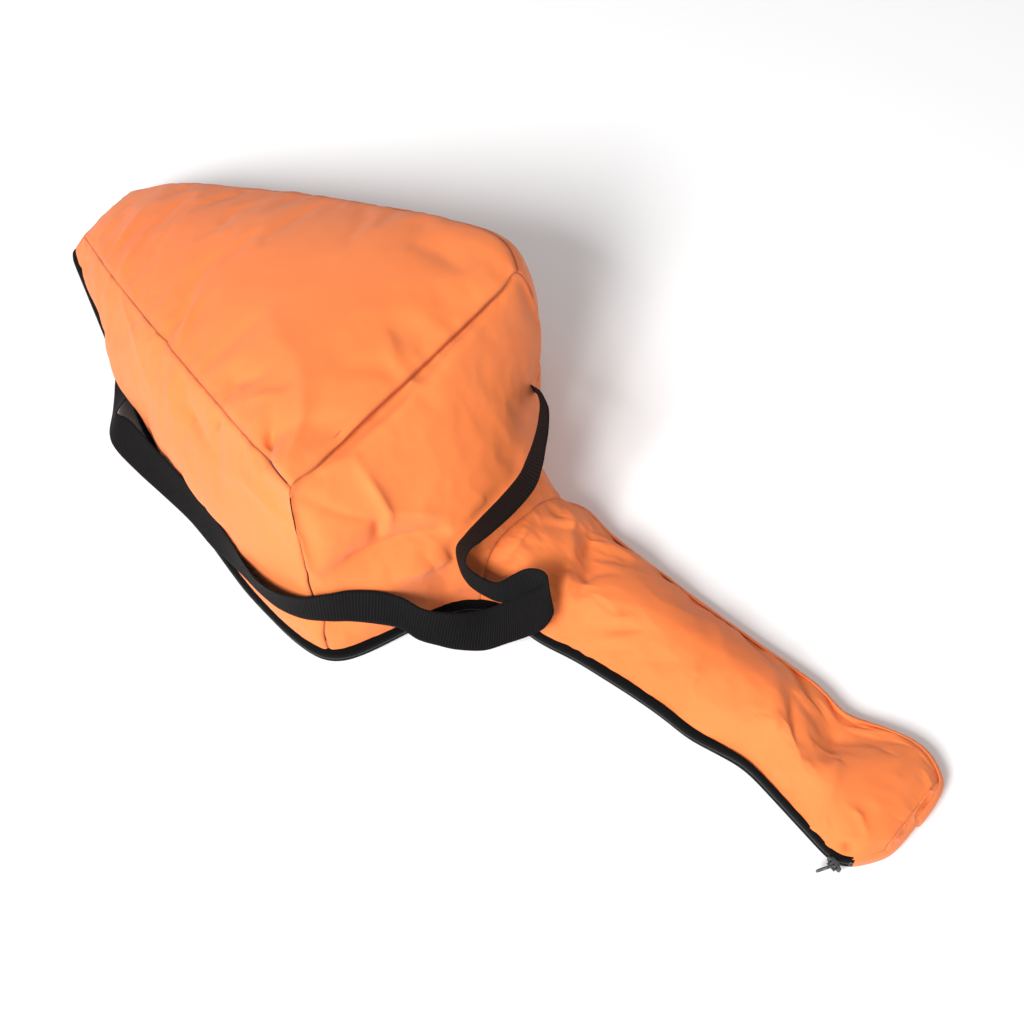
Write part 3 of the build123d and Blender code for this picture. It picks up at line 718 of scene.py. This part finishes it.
# puckers where the seams draw the cloth in
for pair, height in PUCKERS.items():
    line = at[seams[pair]][::4] / MM
    distance, along = line_distance(at, line)
    run_mm = along * np.linalg.norm(np.diff(line, axis=0), axis=1).sum()
    close = np.nonzero(distance < 45 * MM)[0]
    for i in close:
        d = distance[i] / MM
        wave = 0.4 - 1.6 * abs(noise.noise(Vector((run_mm[i] * 0.06, d * 0.010, 7.0 + pair[1]))))
        wave += 0.3 * noise.noise(Vector((run_mm[i] * 0.2, d * 0.03, 2.0)))
        lift[i] += height * MM * wave * math.exp(-(max(0.0, d - 3) / 13)) * min(1.0, d / 4)

# soft crumples, stronger in the front and the sleeve
for i, (x, y, z) in enumerate(at / MM):
    strength = 0.35 + 0.8 * float(ease((x + 70) / 60)) + 0.6 * float(ease((-100 - y) / 60))
    p = Vector((x * 0.017, y * 0.026, z * 0.024))
    crease = 0.5 - abs(noise.noise(p))
    crease += 0.5 * (0.5 - abs(noise.noise(p * 2.3 + Vector((5, 1, 3)))))
    lift[i] += (crease - 0.55) * strength * CRUMPLE * MM

seam, edge = seam_points(shell.data)
hem_fade = ease((at[:, 2] / MM - HEM) / 10)
lift *= ~edge * hem_fade
at += out * lift[:, None]

# The cloth gives way where the webbing lies on it.
# It doesn't at the two sewn ends: behind STRAP_FREE_X, and over the last STRAP_TUCK of the webbing.
ROOM, REACH, STRAP_FREE_X, STRAP_TUCK = 1.7 * MM, 15 * MM, -0.305, 58 * MM
rows = np.linspace(0, 1, 9)[None, :, None]
loose = strap_run < strap_run[-1] - STRAP_TUCK
ribbon = (low_edge[loose][::2, None] + (top_edge - low_edge)[loose][::2, None] * rows).reshape(-1, 3)
tree = KDTree(len(ribbon))
for i, p in enumerate(ribbon):
    tree.insert(p, i)
tree.balance()
near_strap = np.nonzero((at[:, 0] > STRAP_FREE_X) & (at[:, 0] < 0.15))[0]
press = np.zeros(len(at))
for i in near_strap:
    found, index, gap = tree.find(at[i])
    if gap < 2 * REACH:
        step = ribbon[index] - at[i]
        height = float(step @ out[i])
        aside = math.sqrt(max(0.0, gap * gap - height * height))
        if aside < REACH:
            press[i] = max(0.0, ROOM - height) * float(ease(1.25 * (1 - aside / REACH)))
press = np.minimum(press, 14 * MM) * ~edge
links = np.array([e.vertices[:] for e in shell.data.edges])
for _ in range(5):
    total, count = np.zeros(len(at)), np.zeros(len(at))
    for a, b in ((0, 1), (1, 0)):
        np.add.at(total, links[:, a], press[links[:, b]])
        np.add.at(count, links[:, a], 1)
    press = np.maximum(press, total / np.maximum(count, 1) * ~edge)
at -= out * press[:, None]
set_coords(shell.data, at)

# ---------------------------------------------------------------- panels

NAMES = {CROWN: "crown", NEAR: "near_side", FAR: "far_side", FRONT: "front", REAR: "rear", SLEEVE: "sleeve_top", TIP: "sleeve_tip"}
CLOTH = 0.0009


def boundary_loop(mesh):
    """The shell's open lower edge as an ordered ring of points."""
    count, links = {}, {}
    for face in mesh.polygons:
        for key in face.edge_keys:
            count[key] = count.get(key, 0) + 1
    for (a, b), times in count.items():
        if times == 1:
            links.setdefault(a, []).append(b)
            links.setdefault(b, []).append(a)
    start = min(links)
    ring, last, here = [start], None, start
    while True:
        step = [i for i in links[here] if i != last][0]
        if step == start:
            return ring
        ring.append(step)
        last, here = here, step


ring_index = boundary_loop(shell.data)
lower_edge = coords(shell.data)[ring_index]
if np.cross(lower_edge[:, :2], np.roll(lower_edge, -1, axis=0)[:, :2]).sum() < 0:
    lower_edge = lower_edge[::-1]


def rings_from(mesh, start, reach):
    """How many edges each point is from the starting points, up to reach."""
    near = {}
    for a, b in (e.vertices for e in mesh.edges):
        near.setdefault(a, []).append(b)
        near.setdefault(b, []).append(a)
    depth = np.full(len(mesh.vertices), reach + 1)
    depth[list(start)] = 0
    front = list(start)
    for ring in range(1, reach + 1):
        step = []
        for i in front:
            for j in near[i]:
                if depth[j] > ring:
                    depth[j] = ring
                    step.append(j)
        front = step
    return depth


def split_panel(kind):
    mesh = shell.data
    keep = [f for f in mesh.polygons if f.material_index == kind]
    used = sorted({v for f in keep for v in f.vertices})
    index = {v: i for i, v in enumerate(used)}
    at, out = coords(mesh)[used], normals(mesh)[used]
    seam, edge = seam_points(mesh)
    uv = mesh.uv_layers[0].data
    spot = np.zeros((len(used), 2))
    for f in keep:
        for v, loop in zip(f.vertices, f.loop_indices):
            spot[index[v]] = uv[loop].uv
    made = mesh_object("cloth_" + NAMES[kind], at, [[index[v] for v in f.vertices] for f in keep], ORANGE, spot)
    on_seam = [index[v] for v in used if seam[v]]
    depth = rings_from(made.data, on_seam, 4)
    sink = np.choose(np.minimum(depth, 4), [1.1, 0.2, 0.0, 0.0, 0.0]) * MM
    # painted shade in the seam grooves: full on the seam's own points, faint on the next ring
    dark = np.choose(np.minimum(depth, 4), [0.9, 0.12, 0.0, 0.0, 0.0])
    # the mouth's and the tip's seams are pressed flat, and get little painted shade
    flat = np.isin(used, seams[(FRONT, SLEEVE)]) | (kind == TIP) | ((kind == SLEEVE) & (at[:, 0] > 0.40))
    sink = np.where(flat, sink * 0.4, sink)
    dark = np.where(flat, dark * 0.15, dark)
    moved = at - out * sink[:, None]
    ridge_y = (at[:, 1] - (-0.154)) / (0.120 + 0.154)
    share = ease(ridge_y * 9) * ease((1 - ridge_y) * 9)
    ridge = np.nonzero(np.isin(used, seams[(CROWN, FRONT)]))[0]
    if kind in (CROWN, FRONT):
        deep = np.minimum(rings_from(made.data, ridge, 6), 6)
        if kind == CROWN:
            forward = np.choose(deep, [3.4, 3.6, 1.6, 0.6, 0.2, 0.0, 0.0]) * MM * share
            drop = np.choose(deep, [3.8, 1.2, 0.2, 0.0, 0.0, 0.0, 0.0]) * MM * share
            moved = moved * (1 - share[:, None]) + at * share[:, None]
            moved[:, 0] += forward
            moved[:, 2] -= drop
        else:
            tuck = 0.45 + 0.75 * np.exp(-((ridge_y - 0.62) / 0.30) ** 2)
            sink = np.choose(deep, [3.0, 5.2, 5.6, 4.2, 2.2, 0.8, 0.0]) * MM * share * tuck
            moved -= out * sink[:, None]
    set_coords(made.data, moved)
    # the painted seam shade goes to the cloth material as a point attribute
    shade = made.data.attributes.new("painted_seam_shade", "FLOAT", "POINT")
    shade.data.foreach_set("value", dark.astype(np.float32))
    thicken(made, CLOTH)
    return made


BINDING_WIDE, BINDING_THICK = 9.0, 0.9
# how far below the cloth each bound edge starts, in mm: it shows in the bottom of the open seams as a dark line
# that also stands in for the grooves' shade
BINDINGS = {
    "seam_binding_near": ((CROWN, NEAR), 0.8), "seam_binding_far": ((CROWN, FAR), 1.6),
    "seam_binding_ridge": ((CROWN, FRONT), 4.0), "seam_binding_rear": ((CROWN, REAR), 1.5),
    "seam_binding_mouth": ((FRONT, SLEEVE), 3.0), "seam_binding_front_near": ((NEAR, FRONT), 0.9),
    "seam_binding_front_far": ((FAR, FRONT), 1.4),
}


def binding(name, pair, below):
    """Bound edges that hang inside under a seam, dipping in and out of sight along it."""
    line = coords(shell.data)[seams[pair]]
    inward = smooth_line(-normals(shell.data)[seams[pair]], 6, np.ones(len(line)))
    inward = unit(inward)
    line, inward = line[3:-3], inward[3:-3]
    run = np.concatenate([[0], np.cumsum(np.linalg.norm(np.diff(line, axis=0), axis=1))])
    pts, uv, quads = [], [], []
    for p, o, r in zip(line, inward, run):
        dip = below + 0.7 * noise.noise(Vector((r * 22, below, 0.0)))
        for share in (0, 0.25, 0.6, 1):
            pts.append(p + o * (dip + share * BINDING_WIDE) * MM)
            uv.append((r, share * BINDING_WIDE * MM))
    for k in range(len(line) - 1):
        for j in range(3):
            a = k * 4 + j
            quads.append((a, a + 1, a + 5, a + 4))
    made = mesh_object(name + "_tape", pts, quads, BINDING, uv)
    thicken(made, BINDING_THICK * MM, 0.0)
    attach(made, "bag")
    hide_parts(name)


for name, (pair, below) in BINDINGS.items():
    binding(name, pair, below)
panels = {kind: split_panel(kind) for kind in NAMES}
bpy.data.objects.remove(shell)

# ---------------------------------------------------------------- the flat back and the bands round it

ZIP_FAR_END, ZIP_TIP = -240 * MM, 430 * MM
ring = smooth_line(lower_edge, 3, np.ones(len(lower_edge)), closed=True)
tangent = unit(np.roll(ring, -2, axis=0) - np.roll(ring, 2, axis=0))
outward = np.stack([tangent[:, 1], -tangent[:, 0], np.zeros(len(ring))], axis=1)
is_near = outward[:, 1] < 0
start = int(np.argmin(np.where(is_near, np.abs(ring[:, 0] - ZIP_TIP), 9)))
stop = int(np.argmin(np.where(~is_near, np.abs(ring[:, 0] - ZIP_FAR_END), 9)))


def walk(first, last):
    """Places on the ring from one to another, in the ring's own direction."""
    size = len(ring)
    return [(first + k) % size for k in range((last - first) % size + 1)]


# the ring runs anticlockwise seen from above: near side rear to tip, then round the tip
gusset_places = walk(start, stop)
zip_places = walk(stop, start)


def slack(place):
    """How far the zip band stands out at mid height, in mm: less where the slider runs."""
    x, near = ring[place, 0], outward[place, 1] < 0
    return 3.2 - 2.6 * float(ease((x - 0.26) / 0.06)) if near else 3.2


def strip(name, places, profile, material, thickness, free=0.0):
    """A band along the ring; profile is (share of the slack, height in mm, set-in in mm)."""
    pts, uv, quads = [], [], []
    run = 0.0
    width = len(profile)
    for k, place in enumerate(places):
        if k:
            run += float(np.linalg.norm(ring[place] - ring[places[k - 1]]))
        wave = free * noise.noise(Vector((run * 28, 0.0, 3.0))) * slack(place) / 3.2
        for share, z, inset in profile:
            p = ring[place] + outward[place] * (slack(place) * share - inset + wave * share) * MM
            pts.append((p[0], p[1], z * MM))
            uv.append((run, z * MM))
    for k in range(len(places) - 1):
        for j in range(width - 1):
            a = k * width + j
            quads.append((a, a + 1, a + width + 1, a + width))
    made = mesh_object(name, pts, quads, material, uv)
    thicken(made, thickness)
    return made


upper = strip("zip_tape_top", zip_places, [(1.0, 13.0, 0), (0.96, 15.0, 0), (0.8, 17.5, 0), (0.45, 19.0, 0.8), (0.1, 20.6, 1.8)], TAPE, 0.0007, 0.5)
lower = strip("zip_tape_bottom", zip_places, [(0.0, 1.1, 2.2), (0.15, 1.6, 0.9), (0.5, 3.6, 0.3), (0.8, 6.0, 0), (0.96, 8.4, 0), (1.0, 10.4, 0)], TAPE, 0.0007, 0.5)
gusset = strip("cloth_gusset", gusset_places, [(0.0, 1.1, 2.0), (0.2, 1.8, 0.6), (0.6, 5.0, 0), (0.95, 9.0, 0), (1.0, 12.5, 0), (0.75, 16.2, 0.2), (0.35, 18.4, 0.9), (0.1, 20.6, 1.8)], ORANGE, CLOTH, 1.2)

COIL_PITCH = 1.6 * MM
zip_line = ring[zip_places]
zip_run = np.concatenate([[0], np.cumsum(np.linalg.norm(np.diff(zip_line, axis=0), axis=1))])
zip_out = outward[zip_places]
zip_slack = np.array([slack(p) for p in zip_places])


def on_zip(run):
    """Place, outward direction and slack at a distance along the zip from its far end."""
    p = np.array([np.interp(run, zip_run, zip_line[:, k]) for k in range(3)])
    o = unit(np.array([np.interp(run, zip_run, zip_out[:, k]) for k in range(3)]))
    return p, o, float(np.interp(run, zip_run, zip_slack))


def beads(name, spots, material):
    """Many small rounded bars: spots are centre, long axis, second axis, third axis, each with its half size."""
    sides = 6
    pts, quads = [], []
    for centre, a, b, c in spots:
        base = len(pts)
        for share, wide in ((-1, 0.45), (-0.72, 0.95), (0.72, 0.95), (1, 0.45)):
            for k in range(sides):
                angle = 2 * math.pi * k / sides
                pts.append(centre + a * share + (b * math.cos(angle) + c * math.sin(angle)) * wide)
        for ring_no in range(3):
            for k in range(sides):
                low, high = base + ring_no * sides, base + (ring_no + 1) * sides
                quads.append((low + k, low + (k + 1) % sides, high + (k + 1) % sides, high + k))
        quads.append(tuple(base + k for k in range(sides))[::-1])
        quads.append(tuple(base + 3 * sides + k for k in range(sides)))
    return mesh_object(name, pts, quads, material)


def coil(name, z_low, z_high, shift):
    spots = []
    for k in range(int(zip_run[-1] / COIL_PITCH)):
        p, o, slack_here = on_zip((k + 0.5 + shift) * COIL_PITCH)
        p = p + o * (slack_here + 0.25) * MM
        p[2] = (z_low + z_high) / 2 * MM
        t = np.array([-o[1], o[0], 0.0])
        spots.append((p, np.array([0, 0, (z_high - z_low) / 2 * MM]), t * 0.52 * MM, o * 0.75 * MM))
    return beads(name, spots, NYLON)


coil_low = coil("zip_teeth_bottom", 10.1, 12.4, 0.0)
coil_high = coil("zip_teeth_top", 11.1, 13.4, 0.5)


def crimp(name, run, heights):
    """Small metal crimps on the tape at a distance along the zip."""
    spots = []
    for z in heights:
        p, o, slack_here = on_zip(run)
        p = p + o * (slack_here + 0.5) * MM
        p[2] = z * MM
        spots.append((p, np.array([-o[1], o[0], 0.0]) * 1.5 * MM, np.array([0, 0, 1.0]) * MM, o * 0.8 * MM))
    return beads(name, spots, METAL)


top_stops = crimp("zip_crimps_top", zip_run[-1] - 2.0 * MM, (9.2, 14.2))
bottom_stop = crimp("zip_crimp_bottom", 2.0 * MM, (11.75,))

# ---------------------------------------------------------------- flat back


def flat_back(name, first_x, last_x):
    """The bag's flat underside between two places along it, turned up a little at its edge."""
    near_side = [p for p, o in zip(ring, outward) if o[1] < 0]
    far_side = [p for p, o in zip(ring, outward) if o[1] >= 0]
    near_side.sort(key=lambda p: p[0])
    far_side.sort(key=lambda p: p[0])
    nx, ny = [p[0] for p in near_side], [p[1] for p in near_side]
    fx, fy = [p[0] for p in far_side], [p[1] for p in far_side]
    rows = max(8, int((last_x - first_x) / (4 * MM)))
    cols = 48
    pts, uv, quads = [], [], []
    for r in range(rows + 1):
        x = first_x + (last_x - first_x) * r / rows
        a, b = np.interp(x, nx, ny) + 2.2 * MM, np.interp(x, fx, fy) - 2.2 * MM
        for c in range(cols + 1):
            w = 0.5 - 0.5 * math.cos(math.pi * c / cols)
            y = a + (b - a) * w
            rise = 0.9 * MM * (math.exp(-((y - a) / (3 * MM))) + math.exp(-((b - y) / (3 * MM))))
            wave = 0.35 * MM * (1 + noise.noise(Vector((x * 14, y * 14, 1.0))))
            pts.append((x, y, 1.0 * MM + wave * 0.5 + rise))
            uv.append((x, y))
    for r in range(rows):
        for c in range(cols):
            k = r * (cols + 1) + c
            quads.append((k, k + cols + 1, k + cols + 2, k + 1)[::-1])
    made = mesh_object(name, pts, quads, ORANGE, uv)
    thicken(made, CLOTH)
    return made


back = flat_back("cloth_back", ring[:, 0].min() + 2.5 * MM, FRONT_X + 0.03)
sleeve_back = flat_back("cloth_sleeve_back", FRONT_X + 0.0305, ring[:, 0].max() - 2.5 * MM)

# ---------------------------------------------------------------- the carry strap's webbing

STRAP_COLS = 12


def strap_surface(side):
    """One face of the webbing: crosswise ribs, an edge rounded off thinner, a slight cup."""
    w = np.linspace(0, 1, STRAP_COLS + 1)
    flat = low_edge[:, None] + wide_dir[:, None] * (w[None, :, None] * STRAP_WIDE)
    rib = 0.5 + 0.5 * np.cos(2 * math.pi * strap_run / RIB + (0 if side > 0 else math.pi))
    edge_round = np.clip(np.minimum(w, 1 - w) / 0.05, 0, 1) ** 0.5
    half = STRAP_THICK / 2 * (0.62 + 0.38 * rib[:, None]) * (0.55 + 0.45 * edge_round[None])
    cup = 0.6 * MM * (2 * w - 1) ** 2
    return flat + face_dir[:, None] * (side * half + cup[None])[..., None]


front_face, back_face = strap_surface(1.0), strap_surface(-1.0)
count = len(samples)
loop = np.concatenate([front_face, back_face[:, ::-1]], axis=1)
around = loop.shape[1]
strap_uv = []
for k in range(count):
    for j in range(around):
        w = j if j <= STRAP_COLS else 2 * STRAP_COLS + 1 - j
        strap_uv.append((strap_run[k], w / STRAP_COLS * STRAP_WIDE))
quads = []
for k in range(count - 1):
    for j in range(around):
        a, b = k * around + j, k * around + (j + 1) % around
        quads.append((a, b, b + around, a + around))
for j in range(STRAP_COLS):
    for k, flip in ((0, False), (count - 1, True)):
        base = k * around
        quad = (base + j, base + around - 1 - j, base + around - 2 - j, base + j + 1)
        quads.append(quad[::-1] if flip else quad)
strap = mesh_object("webbing_strap", loop.reshape(-1, 3), quads, WEBBING, strap_uv)
bm = bmesh.new()
bm.from_mesh(strap.data)
bmesh.ops.recalc_face_normals(bm, faces=bm.faces)
bm.to_mesh(strap.data)
bm.free()

# rows of thread through the webbing's sewn end
TACK_SAMPLES = (8, 13, 18)
tack_spots = []
for k in TACK_SAMPLES:
    for share in np.linspace(0.12, 0.88, 14):
        spot = low_edge[k] + wide_dir[k] * share * STRAP_WIDE + face_dir[k] * (STRAP_THICK / 2 + 0.1 * MM)
        tack_spots.append((spot, travel[k] * 0.9 * MM, wide_dir[k] * 0.8 * MM, face_dir[k] * 0.35 * MM))
tack = beads("strap_tack_thread", tack_spots, THREAD_BLACK)

# ---------------------------------------------------------------- joining pieces to the frame

for name in ("zip_slider", "zip_pull"):
    node = bpy.data.objects[name]
    node.data.materials.clear()
    node.data.materials.append(METAL)

for piece, nodes in (
    (panels[CROWN], ("crown_panel",)), (panels[NEAR], ("near_side_panel",)), (panels[FAR], ("far_side_panel",)),
    (panels[FRONT], ("front_panel",)), (panels[REAR], ("rear_panel",)), (panels[SLEEVE], ("sleeve_top_panel",)),
    (panels[TIP], ("sleeve_tip_panel",)), (back, ("back_panel",)), (sleeve_back, ("sleeve_back_panel",)),
    (gusset, ("zip_end_gusset",)), (upper, ("zip_tape_upper",)), (lower, ("zip_tape_lower",)),
    (coil_low, ("zip_coil_lower",)), (coil_high, ("zip_coil_upper",)), (strap, ("carry_strap",)),
    (top_stops, ("zip_top_stops",)), (bottom_stop, ("zip_bottom_stop",)), (tack, ("strap_bar_tack_rear",)),
):
    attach(piece, "bag")
    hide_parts(*nodes)

# ---------------------------------------------------------------- floor

floor = mesh_object("floor", [(-6, -6, -0.0003), (6, -6, -0.0003), (6, 6, -0.0003), (-6, 6, -0.0003)], [(0, 1, 2, 3)], floor_material())
